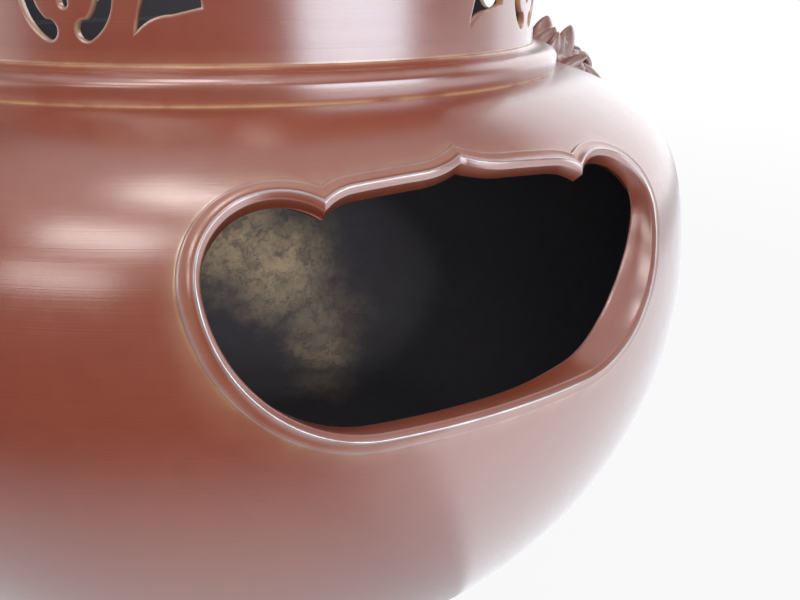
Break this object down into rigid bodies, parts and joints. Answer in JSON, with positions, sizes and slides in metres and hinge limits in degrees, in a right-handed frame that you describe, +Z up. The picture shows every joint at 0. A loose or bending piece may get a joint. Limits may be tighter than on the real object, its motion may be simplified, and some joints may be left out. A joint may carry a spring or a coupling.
{
  "type": "furo brazier",
  "caption": "Round bronze tea-room brazier with a cusped fire window, a pierced collar that holds a kettle, beast-mask lugs with swinging rings, and waisted feet.",
  "frame": {"origin": "on the floor under the middle of the bowl", "axes": "+Z up along the bowl's turning axis, the fire window faces -Y, the ring lugs stand on +X and -X"},
  "size_m": [0.3422, 0.3316, 0.279],
  "materials": {
    "bronze": "cast and turned bronze with a reddish-brown patina, satin, tan-gold in the creases",
    "bronze_dark": "cast bronze with a darker brown patina, worn bright on the high points",
    "iron": "blackened iron"
  },
  "bodies": {
    "brazier": {"bowl": "bronze", "collar": "bronze", "lug_right": "bronze_dark", "lug_left": "bronze_dark", "leg_front": "bronze_dark", "leg_right": "bronze_dark", "leg_left": "bronze_dark", "lug_screws": "iron", "lug_washers": "iron", "leg_screws": "iron", "leg_washers": "iron"},
    "ring_right": {"ring_right": "bronze_dark"},
    "ring_left": {"ring_left": "bronze_dark"}
  },
  "joints": [
    {"name": "ring_right_swing", "type": "hinge", "parent": "brazier", "child": "ring_right", "pos_m": [0.16364, 0, 0.22003], "axis": [0, -1, 0], "range_deg": [0, 90]},
    {"name": "ring_left_swing", "type": "hinge", "parent": "brazier", "child": "ring_left", "pos_m": [-0.16364, 0, 0.22003], "axis": [0, 1, 0], "range_deg": [0, 90]}
  ]
}
